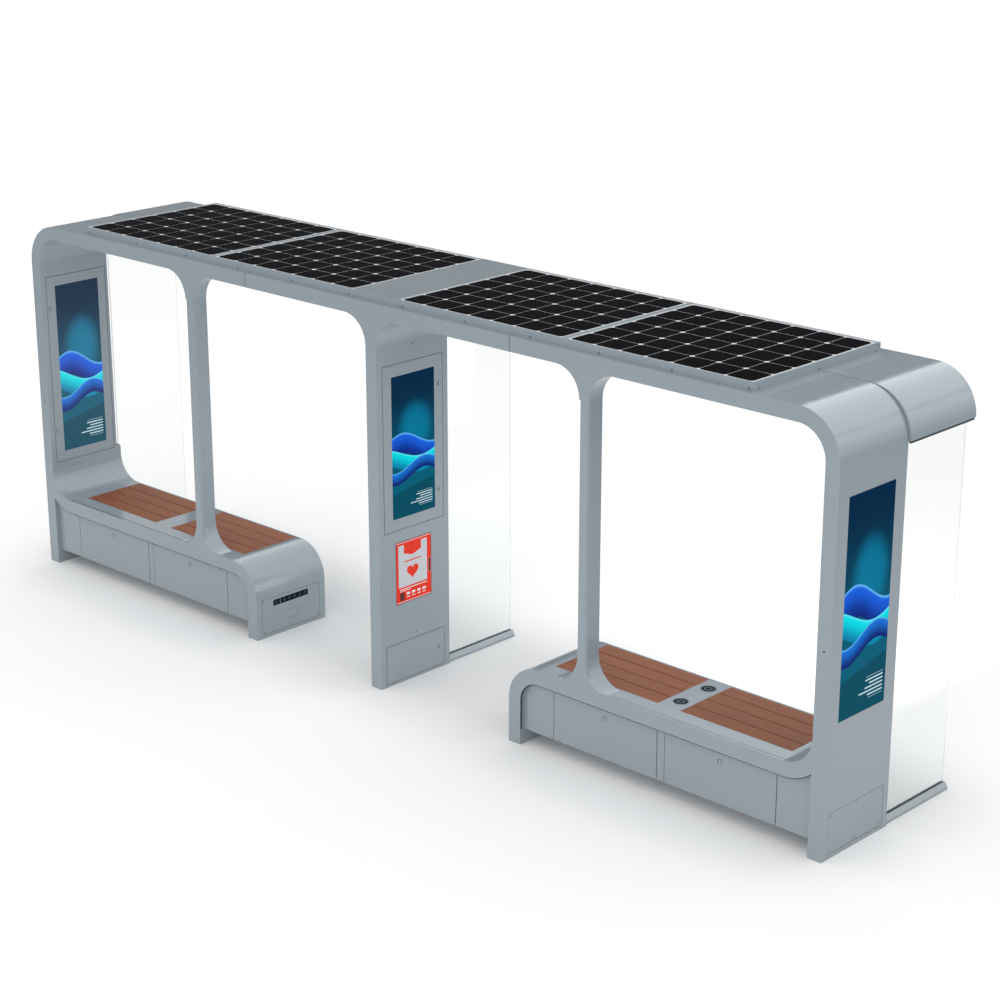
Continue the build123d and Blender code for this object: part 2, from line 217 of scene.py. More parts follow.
DUST_TOP = 160 * MM
DUST_SHARE = 0.28
DUST_TONE = linear(150, 148, 142)
PLUG_EDGE = mm(4.8, 5.8)
PLUG_TONE = linear(26, 27, 30)
SEAM_HALF_WIDTH = 1.6 * MM
SEAM_TONE = linear(62, 68, 73)


def coated_metal(name, color, plugs=(), seams=()):
    """Powder coat: soft waves of the sheet, a slow drift in tone, a little dust near the ground.

    plugs are the centres of small dark plugs, seams the distances from the middle of joints between modules.
    """
    material, tree, shader = new_material(name)
    base = varied(tree, color, 1.1, 0.035)
    point = object_point(tree)
    dust = ranged(tree, split(tree, point)["Z"], 0.0, DUST_TOP, DUST_SHARE, 0.0)
    base = blend(tree, maths(tree, "MULTIPLY", dust, noise(tree, 9.0, 5.0)), base, DUST_TONE)
    for center in plugs:
        away = add(tree, "VectorMath", {0: point, 1: center}, operation="DISTANCE").outputs["Value"]
        base = blend(tree, ranged(tree, away, *PLUG_EDGE, 1.0, 0.0), base, PLUG_TONE)
    for reach in seams:
        off = apart(tree, maths(tree, "ABSOLUTE", split(tree, point)["X"]), reach)
        base = blend(tree, maths(tree, "LESS_THAN", off, SEAM_HALF_WIDTH), base, SEAM_TONE)
    feed(tree, shader.inputs["Base Color"], base)
    feed(tree, shader.inputs["Roughness"], uneven(tree, 16.0, 0.13, 0.19))
    feed(tree, shader.inputs["Normal"], bump(tree, noise(tree, 60.0, 1.0), 0.06, 0.6 * MM))
    return material


def rubber(name, color):
    material, tree, shader = new_material(name)
    feed(tree, shader.inputs["Base Color"], varied(tree, color, 30.0, 0.12))
    feed(tree, shader.inputs["Roughness"], uneven(tree, 90.0, 0.55, 0.75))
    feed(tree, shader.inputs["Normal"], bump(tree, noise(tree, 700.0), 0.1, 0.4 * MM))
    shader.inputs["Specular IOR Level"].default_value = 0.2
    return material


def bright_metal(name, color, roughness):
    """Turned or brushed metal with fine scratches."""
    material, tree, shader = new_material(name)
    feed(tree, shader.inputs["Base Color"], varied(tree, color, 60.0, 0.08))
    shader.inputs["Metallic"].default_value = 1.0
    scratches = noise(tree, 260.0, 3.0, stretch=(1, 1, 9))
    limits = (roughness * 0.7, roughness * 1.4)
    feed(tree, shader.inputs["Roughness"], ranged(tree, scratches, 0.3, 0.7, *limits))
    feed(tree, shader.inputs["Normal"], bump(tree, scratches, 0.05, 0.3 * MM))
    return material


WOOD_DARK = linear(125, 64, 31)
WOOD_PALE = linear(158, 89, 49)
WOOD_PORES = linear(102, 54, 31)
BOARD_CONTRAST = (0.94, 1.06)


def wood(name):
    """Reddish oiled boards: each has its own tone and its own stretch of grain along x."""
    material, tree, shader = new_material(name)
    point = object_point(tree)
    place = split(tree, point)
    pitch = (slats_high.y - slats_low.y) / BOARDS
    row = maths(tree, "DIVIDE", maths(tree, "SUBTRACT", place["Y"], slats_low.y), pitch)
    field = maths(tree, "DIVIDE", place["X"], (slats_low.x + slats_high.x) / 2)
    corner = {"X": maths(tree, "FLOOR", row), "Y": maths(tree, "FLOOR", field), "Z": 0.5}
    board = add(tree, "CombineXYZ", corner).outputs["Vector"]
    chance = add(tree, "TexWhiteNoise", {"Vector": board}, noise_dimensions="3D")
    shift = add(tree, "VectorMath", {0: chance.outputs["Color"], 1: (7.0, 7.0, 7.0)}, operation="MULTIPLY")
    moved = add(tree, "VectorMath", {0: point, 1: shift.outputs[0]}, operation="ADD").outputs[0]
    grain = noise(tree, 14.0, 6.0, moved, stretch=(0.35, 9.0, 9.0))
    pores = noise(tree, 60.0, 3.0, moved, stretch=(0.25, 14.0, 14.0))
    tone = blend(tree, ranged(tree, grain, 0.3, 0.7, 0.0, 1.0), WOOD_DARK, WOOD_PALE)
    tone = blend(tree, ranged(tree, pores, 0.55, 0.75, 0.0, 0.3), tone, WOOD_PORES)
    value = ranged(tree, chance.outputs["Value"], 0.0, 1.0, *BOARD_CONTRAST)
    tinted = add(tree, "HueSaturation", {"Color": tone, "Value": value}).outputs["Color"]
    feed(tree, shader.inputs["Base Color"], tinted)
    feed(tree, shader.inputs["Roughness"], ranged(tree, grain, 0.3, 0.7, 0.5, 0.66))
    height = maths(tree, "SUBTRACT", grain, maths(tree, "MULTIPLY", pores, 0.6))
    feed(tree, shader.inputs["Normal"], bump(tree, height, 0.18, 1.2 * MM))
    shader.inputs["Specular IOR Level"].default_value = 0.25
    return material


GLASS_TINT = (0.952, 0.968, 0.964, 1.0)
EDGE_TINT = (0.94, 0.97, 0.965, 1.0)


def clear_glass(name):
    """Toughened glass that lets lamps and soft light through, with pale ground edges."""
    material, tree, shader = new_material(name)
    feed(tree, shader.inputs["Base Color"], varied(tree, GLASS_TINT, 0.8, 0.008))
    smudges = ranged(tree, noise(tree, 5.0, 4.0), 0.45, 0.8, 0.0, 0.03)
    feed(tree, shader.inputs["Roughness"], smudges)
    shader.inputs["Transmission Weight"].default_value = 1.0
    shader.inputs["IOR"].default_value = 1.45
    light = add(tree, "LightPath").outputs
    passing = maths(tree, "MAXIMUM", light["Is Shadow Ray"], light["Is Diffuse Ray"])
    through = add(tree, "BsdfTransparent", {"Color": GLASS_TINT}).outputs[0]
    pane = add(tree, "MixShader", {0: passing, 1: shader.outputs[0], 2: through}).outputs[0]
    ground = add(tree, "BsdfPrincipled", {"Specular IOR Level": 0.2, "Roughness": 0.5})
    feed(tree, ground.inputs["Base Color"], varied(tree, EDGE_TINT, 9.0, 0.03))
    edge = add(tree, "MixShader", {0: 0.5, 1: ground.outputs[0], 2: through}).outputs[0]
    facing = maths(tree, "ABSOLUTE", split(tree, add(tree, "NewGeometry").outputs["True Normal"])["X"])
    on_edge = maths(tree, "LESS_THAN", facing, 0.5)
    whole = add(tree, "MixShader", {0: on_edge, 1: pane, 2: edge}).outputs[0]
    tree.links.new(whole, tree.nodes["Material Output"].inputs["Surface"])
    return material


def solar_cell(name):
    """Dark cell under glass with a coating against glare, with the contacts at its back."""
    material, tree, shader = new_material(name)
    crystal = noise(tree, 30.0, 4.0)
    feed(tree, shader.inputs["Base Color"], blend(tree, crystal, linear(13, 13, 16), linear(22, 22, 26)))
    feed(tree, shader.inputs["Roughness"], uneven(tree, 50.0, 0.05, 0.09))
    shader.inputs["IOR"].default_value = 1.04
    return material


def backsheet(name):
    material, tree, shader = new_material(name)
    feed(tree, shader.inputs["Base Color"], varied(tree, linear(226, 228, 230), 3.0, 0.03))
    feed(tree, shader.inputs["Roughness"], uneven(tree, 40.0, 0.3, 0.42))
    shader.inputs["Specular IOR Level"].default_value = 0.3
    return material


# Shares of a charger pad's radius
PAD_RING = 0.42
PAD_RING_HALF_WIDTH = 0.12
PAD_RIM = 0.87


def charger(name):
    """Dark disc with a ring that shows where a phone lies, and a paler rim."""
    material, tree, shader = new_material(name)
    place = split(tree, object_point(tree))
    radius = (pads_high.x - pads_low.x) / 2
    across = maths(tree, "SUBTRACT", place["X"], (pads_low.x + pads_high.x) / 2)
    front = maths(tree, "SUBTRACT", place["Y"], pads_low.y + radius)
    rear = maths(tree, "SUBTRACT", place["Y"], pads_high.y - radius)
    nearer = maths(tree, "LESS_THAN", maths(tree, "ABSOLUTE", front), maths(tree, "ABSOLUTE", rear))
    along = add(tree, "Mix", {"Factor": nearer, 2: rear, 3: front}).outputs[0]
    distance = length_of(tree, across, along)
    off_ring = apart(tree, distance, PAD_RING * radius)
    on_ring = maths(tree, "LESS_THAN", off_ring, PAD_RING_HALF_WIDTH * radius)
    on_rim = maths(tree, "GREATER_THAN", distance, PAD_RIM * radius)
    tone = varied(tree, linear(24, 27, 30), 60.0, 0.1)
    tone = blend(tree, on_ring, tone, linear(74, 98, 118))
    tone = blend(tree, on_rim, tone, linear(84, 90, 94))
    feed(tree, shader.inputs["Base Color"], tone)
    feed(tree, shader.inputs["Roughness"], uneven(tree, 200.0, 0.3, 0.42))
    feed(tree, shader.inputs["Normal"], bump(tree, noise(tree, 900.0), 0.1, 0.3 * MM))
    shader.inputs["IOR"].default_value = 1.12
    return material


def printed(name, color, roughness=0.35, specular=0.3):
    """Printed film or enamel in one colour, slightly uneven."""
    material, tree, shader = new_material(name)
    feed(tree, shader.inputs["Base Color"], varied(tree, color, 12.0, 0.03))
    feed(tree, shader.inputs["Roughness"], uneven(tree, 45.0, roughness - 0.05, roughness + 0.07, 3.0))
    feed(tree, shader.inputs["Normal"], bump(tree, noise(tree, 500.0), 0.03, 0.3 * MM))
    shader.inputs["Specular IOR Level"].default_value = specular
    return material


# Generic picture of the screens. u runs across a screen and v up it, both from 0 to 1.

# Ribbons: middle height, swing, pitch, shift, half width, lower colour, upper colour
RIBBONS = (
    (0.47, 0.055, 4.2, 0.6, 0.075, (4, 34, 118), (22, 92, 214)),
    (0.40, 0.050, 3.4, 2.4, 0.060, (0, 120, 160), (0, 214, 222)),
    (0.32, 0.040, 4.8, 4.3, 0.045, (6, 28, 104), (20, 110, 205)),
)
HALO_U, HALO_V = 0.55, 0.62
HALO_FLATNESS = 2.2
HALO_REACH = 0.22
HALO_SHARE = 0.75
HALO_TONE = linear(0, 122, 158)
SKY_RANGE = (0.2, 0.95)
SKY_LOW = linear(0, 88, 112)
SKY_HIGH = linear(2, 38, 66)
RIM_TONE = linear(120, 215, 240)
GROUND_LEVEL = 0.17
GROUND_SLOPE = 0.07
GROUND_SHARE = 0.8
GROUND_TONE = linear(0, 66, 84)
BAR_LINES = 58.0
BAR_SPACING = 0.6
BAR_SHARE = 0.8
BAR_TONE = linear(200, 225, 232)
BAR_BLOCK = (0.05, 0.15)
BAR_STARTS = (0.42, 0.66)
BAR_END = 0.94
SCREEN_GLOW = 0.85


def screen_halo(tree, u, v):
    """Share of the soft glow over the ribbons."""
    up = maths(tree, "MULTIPLY", maths(tree, "SUBTRACT", v, HALO_V), HALO_FLATNESS)
    across = maths(tree, "SUBTRACT", u, HALO_U)
    reach = maths(tree, "ADD", maths(tree, "POWER", across, 2.0), maths(tree, "POWER", up, 2.0))
    return ranged(tree, reach, 0.0, HALO_REACH, HALO_SHARE, 0.0, smooth=True)


def with_ribbon(tree, picture, u, v, ribbon):
    """The picture with one more wavy ribbon, which is lit along its upper edge."""
    middle, swing, pitch, shift, width, dark, light = ribbon
    wave = maths(tree, "SINE", maths(tree, "ADD", maths(tree, "MULTIPLY", u, pitch), shift))
    center = maths(tree, "ADD", maths(tree, "MULTIPLY", wave, swing), middle)
    above = maths(tree, "DIVIDE", maths(tree, "SUBTRACT", v, center), width)
    body = ranged(tree, maths(tree, "ABSOLUTE", above), 0.92, 1.0, 1.0, 0.0, smooth=True)
    shade = ranged(tree, above, -1.0, 1.0, 0.0, 1.0, smooth=True)
    picture = blend(tree, body, picture, blend(tree, shade, linear(*dark), linear(*light)))
    rim = ranged(tree, above, 0.72, 0.97, 0.0, 0.6, smooth=True)
    return blend(tree, maths(tree, "MULTIPLY", rim, body), picture, RIM_TONE)


def screen_bars(tree, u, v):
    """Share of the block of plain bars, which start at uneven places."""
    lines = maths(tree, "MULTIPLY", v, BAR_LINES)
    number = maths(tree, "FLOOR", lines)
    chance = add(tree, "TexWhiteNoise", {"W": number}, noise_dimensions="1D").outputs["Value"]
    start = ranged(tree, chance, 0.0, 1.0, *BAR_STARTS)
    bars = maths(tree, "GREATER_THAN", maths(tree, "FRACT", lines), BAR_SPACING)
    for test, value, limit in (
        ("LESS_THAN", u, BAR_END), ("GREATER_THAN", u, start),
        ("GREATER_THAN", v, BAR_BLOCK[0]), ("LESS_THAN", v, BAR_BLOCK[1]),
    ):
        bars = maths(tree, "MULTIPLY", bars, maths(tree, test, value, limit))
    return maths(tree, "MULTIPLY", bars, BAR_SHARE)


def screen_art(name, node, specular):
    """Lit screen with a generic picture: deep teal, slow ribbons of blue light and plain bars."""
    material, tree, shader = new_material(name)
    low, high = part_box(node)
    place = split(tree, object_point(tree))
    u = maths(tree, "DIVIDE", maths(tree, "SUBTRACT", place["Y"], low.y), high.y - low.y)
    v = maths(tree, "DIVIDE", maths(tree, "SUBTRACT", place["Z"], low.z), high.z - low.z)
    picture = blend(tree, ranged(tree, v, *SKY_RANGE, 0.0, 1.0, smooth=True), SKY_LOW, SKY_HIGH)
    picture = blend(tree, screen_halo(tree, u, v), picture, HALO_TONE)
    for ribbon in RIBBONS:
        picture = with_ribbon(tree, picture, u, v, ribbon)
    horizon = maths(tree, "ADD", maths(tree, "MULTIPLY", u, GROUND_SLOPE), GROUND_LEVEL)
    ground = maths(tree, "MULTIPLY", maths(tree, "LESS_THAN", v, horizon), GROUND_SHARE)
    picture = blend(tree, ground, picture, GROUND_TONE)
    picture = blend(tree, screen_bars(tree, u, v), picture, BAR_TONE)
    feed(tree, shader.inputs["Base Color"], blend(tree, 0.7, picture, (0.0, 0.0, 0.0, 1.0)))
    feed(tree, shader.inputs["Emission Color"], picture)
    shader.inputs["Emission Strength"].default_value = SCREEN_GLOW
    feed(tree, shader.inputs["Roughness"], ranged(tree, noise(tree, 6.0, 3.0), 0.4, 0.7, 0.05, 0.12))
    shader.inputs["Specular IOR Level"].default_value = specular
    return material


PAINT = linear(149, 160, 168)
WALL_PLUG_Z = 1055 * MM
wall_plugs = [(x, FRONT, WALL_PLUG_Z) for x in (-WALL_MIDDLE, WALL_MIDDLE)]

paint = coated_metal("painted_metal", PAINT)
wall_paint = coated_metal("wall_paint", PAINT, plugs=wall_plugs)
roof_paint = coated_metal("roof_paint", PAINT, seams=[MODULE_JOINT])
# Mid grey rubber of the gaskets and label rims, also used as painted light in the paler seat line on the
# right bench and the one-sided bin door gaskets
gasket_rubber_and_painted_light = rubber("gasket_rubber_and_painted_light", linear(124, 134, 141))
# Dark rubber of trims and seals, also used for the painted shadow under the bench ribbons and the painted
# reflection line on the left seat
dark_trim_and_painted_shade = rubber("dark_trim_and_painted_shade", linear(58, 66, 70))
# Dark rubber of the board spacers, which also paints the shade in the gaps between the boards
spacer_rubber_and_gap_shade = rubber("spacer_rubber_and_gap_shade", linear(34, 30, 28))
collar_steel = bright_metal("collar_steel", (0.19, 0.2, 0.21, 1.0), 0.35)
screw_steel = bright_metal("screw_steel", (0.10, 0.105, 0.11, 1.0), 0.35)
core_chrome = bright_metal("core_chrome", (0.58, 0.6, 0.62, 1.0), 0.4)
# Near black plate on each key slot: painted shade of the keyway
keyway_shade = rubber("keyway_shade", linear(24, 24, 26))
boards = wood("wood_boards")
glass = clear_glass("clear_glass")
cell = solar_cell("solar_cell")
sheet = backsheet("solar_backsheet")
pad = charger("charger_pad")
strip = printed("strip_black", linear(12, 13, 15), roughness=0.2, specular=0.12)
icon_blue = printed("icon_blue", linear(42, 84, 112))
divider = printed("divider_pale", linear(150, 158, 166))
red_paint = printed("first_aid_red", linear(240, 54, 30), roughness=0.3, specular=0.15)
pale_field = printed("first_aid_pale", linear(208, 211, 216), roughness=0.4)
# White print, also used for the painted highlight lines along the first aid door's edges
white_print_and_highlight = printed("first_aid_white_and_highlight", linear(238, 238, 238))
slot_dark = printed("pull_dark", linear(46, 44, 46))
pink_rim = printed("pull_rim", linear(226, 168, 164))
red_bar = printed("first_aid_bar", linear(226, 112, 100))
dark_plate = printed("first_aid_dark", linear(92, 36, 30))
panel_frame = printed("panel_frame", linear(168, 176, 182), roughness=0.3)


# Dressing of the CAD nodes

def dressed(node, material, edge=None):
    """Give a node its material, and round its edges by a small radius."""
    piece = nodes[node]
    piece.data.materials.clear()
    piece.data.materials.append(material)
    if edge:
        rounded(piece, edge)


def beveled(piece, edge):
    bevel = piece.modifiers.new("edge", "BEVEL")
    bevel.width = edge
    bevel.segments = 2
    bevel.limit_method = "ANGLE"
    return bevel


def rounded(piece, edge):
    """Round the edges of a CAD node, whose faces are welded first, and shade it smoothly."""
    weld = piece.modifiers.new("weld", "WELD")
    weld.merge_threshold = 0.05 * MM
    bevel = beveled(piece, edge)
    bevel.angle_limit = math.radians(35)
    bevel.use_clamp_overlap = True
    bevel.miter_outer = "MITER_ARC"
    normals = piece.modifiers.new("normals", "WEIGHTED_NORMAL")
    normals.keep_sharp = False
    normals.weight = 90


SHEET_EDGE = 1.0 * MM
BOARD_EDGE = 1.2 * MM
PAD_EDGE = 1.2 * MM
SCREEN_EDGE = 0.5 * MM
STRIP_EDGE = 0.4 * MM

for side in ("left", "right"):
    dressed(f"{side}_wall", wall_paint)
    for part in ("roof", "hood"):
        dressed(f"{side}_{part}", roof_paint)
    for part in ("bench_frame", "storage_box", "solar_tray", "post"):
        dressed(f"{side}_{part}", paint)
    for part in ("display_door", "inner_bin_door", "outer_bin_door"):
        dressed(f"{side}_{part}", paint, SHEET_EDGE)
    dressed(f"{side}_bench_slats", boards, BOARD_EDGE)
    dressed(f"{side}_solar_panels", sheet)
    screen = f"{side}_display_screen"
    dressed(screen, screen_art(f"{side}_screen_art", screen, 0.3), SCREEN_EDGE)

for part in ("center_roof", "center_hood"):
    dressed(part, roof_paint)
for part in ("center_pillar", "center_pillar_head", "tray_cover"):
    dressed(part, paint)
for part in ("center_display_door", "service_door", "wall_covers", "bench_end_covers", "floor_rails"):
    dressed(part, paint, SHEET_EDGE)
dressed("first_aid_door", red_paint, SHEET_EDGE)
dressed("right_charger_pads", pad, PAD_EDGE)
dressed("bench_status_strips", strip, STRIP_EDGE)
dressed("glass_panels", glass)
dressed("center_display_screen", screen_art("center_screen_art", "center_display_screen", 0.03), SCREEN_EDGE)
dressed("outer_screens", screen_art("outer_screen_art", "outer_screens", 0.02), SCREEN_EDGE)


# Mesh helpers

def linked(name, mesh, material):
    """Make an object from a bmesh, with its material."""
    data = bpy.data.meshes.new(name)
    mesh.to_mesh(data)
    mesh.free()
    data.materials.append(material)
    made = bpy.data.objects.new(name, data)
    scene.collection.objects.link(made)
    return made


def placed(name, mesh, material, body="shelter", edge=None):
    """Make a piece from a bmesh, and let it ride on a body."""
    bmesh.ops.recalc_face_normals(mesh, faces=mesh.faces)
    piece = linked(name, mesh, material)
    if edge:
        beveled(piece, edge)
    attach(piece, body)


def add_bar(mesh, x, y, z):
    """A closed box between the two values of each pair, in a mesh that joins many."""
    corners = [mesh.verts.new((a, b, c)) for a in sorted(x) for b in sorted(y) for c in sorted(z)]
    for face in ((0, 1, 3, 2), (4, 6, 7, 5), (0, 4, 5, 1), (2, 3, 7, 6), (0, 2, 6, 4), (1, 5, 7, 3)):
        mesh.faces.new([corners[i] for i in face])


def axes_for(normal):
    """Two directions across a normal."""
    normal = Vector(normal)
    across = Vector((0, 0, 1)) if abs(normal.z) < 0.5 else Vector((1, 0, 0))
    first = normal.cross(across).normalized()
    return first, normal.cross(first)


def add_turned(mesh, center, normal, profile, segments=16, ring=False):
    """A turned form about the normal, from pairs of radius and height, closed at its ends or as a ring."""
    first, second = axes_for(normal)
    rings = []
    for radius, height in profile:
        circle = []
        for i in range(segments):
            angle = 2 * math.pi * i / segments
            offset = first * (radius * math.cos(angle)) + second * (radius * math.sin(angle))
            circle.append(mesh.verts.new(Vector(center) + Vector(normal) * height + offset))
        rings.append(circle)
    pairs = list(zip(rings, rings[1:]))
    if ring:
        pairs.append((rings[-1], rings[0]))
    for low, high in pairs:
        for i in range(segments):
            mesh.faces.new((low[i], low[(i + 1) % segments], high[(i + 1) % segments], high[i]))
    if not ring:
        mesh.faces.new(rings[0])
        mesh.faces.new(rings[-1])


def add_plate(mesh, outline, place, thickness):
    """A flat plate from a 2D outline. place turns the two drawing values and a height into a point."""
    bottom = [mesh.verts.new(place(a, b, 0)) for a, b in outline]
    top = [mesh.verts.new(place(a, b, thickness)) for a, b in outline]
    mesh.faces.new(bottom)
    mesh.faces.new(top)
    count = len(outline)
    for i in range(count):
        mesh.faces.new((bottom[i], bottom[(i + 1) % count], top[(i + 1) % count], top[i]))


def rect_outline(a, b):
    """The four corners of a rectangle in a drawing."""
    return ((a[0], b[0]), (a[1], b[0]), (a[1], b[1]), (a[0], b[1]))


def scaled_profile(profile, size=1.0):
    """A turned profile in metres, from one in millimetres, with its radii times a size."""
    return [(radius * size * MM, height * MM) for radius, height in profile]


# Gaskets in the gaps of the doors, on the shelter's side

GASKET_CLEAR = 1.2 * MM
GASKET_RECESS = 1.0 * MM
GASKET_DEPTH = 6 * MM
GASKET_EDGE = 0.5 * MM
PIN_ROOM = 7 * MM
BIN_PIN_ROOM = 13 * MM


def leaf_of(door):
    """y and z limits of an upright door's leaf without its pins."""
    low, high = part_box(door)
    return (low.y, high.y), (low.z + PIN_REACH, high.z - PIN_REACH)


def face_of(door):
    """x of the face that a door is flush with, and the direction out of it."""
    if door.startswith("left"):
        return -WALL_FACE, 1
    if door.startswith("right"):
        return WALL_FACE, -1
    return PILLAR_FACE, 1


def door_gasket(door, pin_y):
    """Rubber in all four gaps of an upright door, with room for its pins."""
    face_x, outward = face_of(door)
    leaf_y, leaf_z = leaf_of(door)
    x = (face_x - outward * GASKET_RECESS, face_x - outward * GASKET_DEPTH)
    inner_y, outer_y = grown(leaf_y, GASKET_CLEAR), grown(leaf_y, DOOR_GAP)
    inner_z, outer_z = grown(leaf_z, GASKET_CLEAR), grown(leaf_z, DOOR_GAP)
    mesh = bmesh.new()
    for y in ((outer_y[0], inner_y[0]), (inner_y[1], outer_y[1])):
        add_bar(mesh, x, y, outer_z)
    for z in ((outer_z[0], inner_z[0]), (inner_z[1], outer_z[1])):
        for y in ((inner_y[0], pin_y - PIN_ROOM), (pin_y + PIN_ROOM, inner_y[1])):
            add_bar(mesh, x, y, z)
    placed(f"{door}_gasket", mesh, gasket_rubber_and_painted_light, edge=GASKET_EDGE)


def bin_gasket_and_painted_light(door, pin_z):
    """Rubber in the gap on the low x side of a bin door, above its pin. It stands only on this side as
    painted light: its mid tone makes the gap read paler there, as a lit side wall of the gap would.
    """
    low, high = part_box(door)
    leaf_x = low.x + PIN_REACH
    face_y = FRONT + BOX_SETBACK
    x = (leaf_x - DOOR_GAP, leaf_x - GASKET_CLEAR)
    mesh = bmesh.new()
    add_bar(mesh, x, (face_y + GASKET_RECESS, face_y + GASKET_DEPTH), (pin_z + BIN_PIN_ROOM, high.z))
    placed(f"{door}_gasket", mesh, gasket_rubber_and_painted_light, edge=GASKET_EDGE)


for joint in frame["joints"]:
    upright = abs(joint["axis"][2]) > 0.5
    if upright:
        door_gasket(joint["child"], joint["pos_m"][1])
    else:
        bin_gasket_and_painted_light(joint["child"], joint["pos_m"][2])


# Cam locks: a steel collar round a core, and a near black plate on the key slot as painted shade of the
# keyway. Profiles are pairs of radius and height in millimetres

COLLAR = ((11.6, 0.0), (11.9, 0.5), (11.2, 1.1), (9.4, 1.1), (8.6, 0.4), (8.6, 0.0))
CORE = ((8.4, 0.0), (8.4, 0.35), (7.6, 0.6), (0.4, 0.6))
KEY_OFFSET = 2.4 * MM
KEY_HALF_WIDTH = 2.1 * MM
KEY_HALF_LENGTH = 5.25 * MM
KEY_BASE = 0.55 * MM
KEY_HEIGHT = 0.25 * MM


def lock_caps(door, places, normal):
    collars = bmesh.new()
    cores = bmesh.new()
    slots = bmesh.new()
    normal = Vector(normal)
    first, second = axes_for(normal)
    outline = rect_outline((-KEY_HALF_WIDTH, KEY_HALF_WIDTH), (-KEY_HALF_LENGTH, KEY_HALF_LENGTH))
    for center in places:
        add_turned(collars, center, normal, scaled_profile(COLLAR), 28, ring=True)
        add_turned(cores, center, normal, scaled_profile(CORE), 28)
        base = Vector(center) + normal * KEY_BASE + first * KEY_OFFSET
        add_plate(slots, outline, lambda a, b, h: base + first * a + second * b + normal * h, KEY_HEIGHT)
    placed(f"{door}_lock_collars", collars, collar_steel, door)
    placed(f"{door}_lock_cores", cores, core_chrome, door)
    placed(f"{door}_key_slots", slots, keyway_shade, door)


WALL_LOCK_INSET = 22 * MM
PILLAR_LOCK_INSET = 27 * MM
SERVICE_LOCK_INSET = 38 * MM
LOCK_PROUD = 3 * MM
WALL_LOCKS = (0.171, 0.833)
PILLAR_LOCKS = (0.175, 0.82)
SERVICE_LOCKS = (0.49,)
BIN_LOCK_DROP = 56 * MM

for door, shares, inset, at_rear in (
    ("left_display_door", WALL_LOCKS, WALL_LOCK_INSET, False),
    ("right_display_door", WALL_LOCKS, WALL_LOCK_INSET, False),
    ("center_display_door", PILLAR_LOCKS, PILLAR_LOCK_INSET, True),
    ("service_door", SERVICE_LOCKS, SERVICE_LOCK_INSET, True),
):
    face_x, outward = face_of(door)
    leaf_y, leaf_z = leaf_of(door)
    y = leaf_y[1] - inset if at_rear else leaf_y[0] + inset
    places = [(face_x + outward * LOCK_PROUD, y, share(leaf_z, part)) for part in shares]
    lock_caps(door, places, (outward, 0, 0))

for side in ("left", "right"):
    for place in ("inner", "outer"):
        door = f"{side}_{place}_bin_door"
        low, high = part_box(door)
        lock_caps(door, [((low.x + high.x) / 2, low.y, high.z - BIN_LOCK_DROP)], (0, -1, 0))


# Plates drawn on a face that looks along x. A drawing gives y from the front plane and z, in millimetres.

def face_place(face_x, outward, base=0.0):
    def place(a, b, h):
        return (face_x + outward * (base * MM + h), FRONT + a * MM, b * MM)
    return place


def plates(name, outlines, face_x, outward, material, body="shelter", base=0.0, thickness=0.25):
    mesh = bmesh.new()
    for outline in outlines:
        add_plate(mesh, outline, face_place(face_x, outward, base), thickness * MM)
    placed(name, mesh, material, body)


def frame_outlines(y, z, width):
    """Four bars of one width that lie inside a rectangle's edges."""
    bars = [rect_outline(y, (z[0], z[0] + width)), rect_outline(y, (z[1] - width, z[1]))]
    between = grown(z, -width)
    return bars + [rect_outline((y[0], y[0] + width), between), rect_outline((y[1] - width, y[1]), between)]


def drawn_spans(node):
    """y and z limits of a node in a drawing's millimetres."""
    low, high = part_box(node)
    return ((low.y - FRONT) / MM, (high.y - FRONT) / MM), (low.z / MM, high.z / MM)


# First aid door: pale field with a red tab, a plain heart, plain bars and plain blocks, and white lines of
# painted highlight along its top and bottom edges

AID_FIELD = (
    (141, 557), (359, 557), (359, 801), (314, 801), (314, 752),
    (249, 731), (183, 750), (183, 801), (141, 801),
)
AID_HEART = ((204, 293), (593, 670))
AID_CAPTION = ((186, 312), (697, 706))
AID_LINES = (((150, 357), (542, 547)), ((150, 232), (532, 536)))
# White lines at the door's top and bottom edges: painted highlight on the edges
AID_EDGE_HIGHLIGHTS = (((127, 388), (469, 472)), ((127, 388), (814, 817)))
AID_PLATE = ((150, 184), (480, 526))
BLOCKS_Y = (200, 240, 282, 322)
BLOCK_WIDTH = 26
BLOCK_Z = (506, 519)
BLOCK_LINE_Z = (491, 496)
PRINT_THICKNESS = 0.25
PULL = ((371, 387), (598, 678))
PULL_RIM = 2
PULL_PLAY = 0.3
PULL_LINER = 5.9


def heart_outline(y, z, points=40):
    """The usual heart curve, 32 units wide as drawn, fitted into a rectangle."""
    drawing = []
    for i in range(points):
        t = 2 * math.pi * i / points
        a = 16 * math.sin(t) ** 3
        b = 13 * math.cos(t) - 5 * math.cos(2 * t) - 2 * math.cos(3 * t) - math.cos(4 * t)
        drawing.append((a, b))
    low = min(b for a, b in drawing)
    high = max(b for a, b in drawing)
    middle = (y[0] + y[1]) / 2
    return [
        (middle + a / 32 * (y[1] - y[0]), z[0] + (b - low) / (high - low) * (z[1] - z[0]))
        for a, b in drawing
    ]


def aid_print(name, outlines, material, base=0.0):
    plates(name, outlines, PILLAR_FACE, 1, material, "first_aid_door", base)


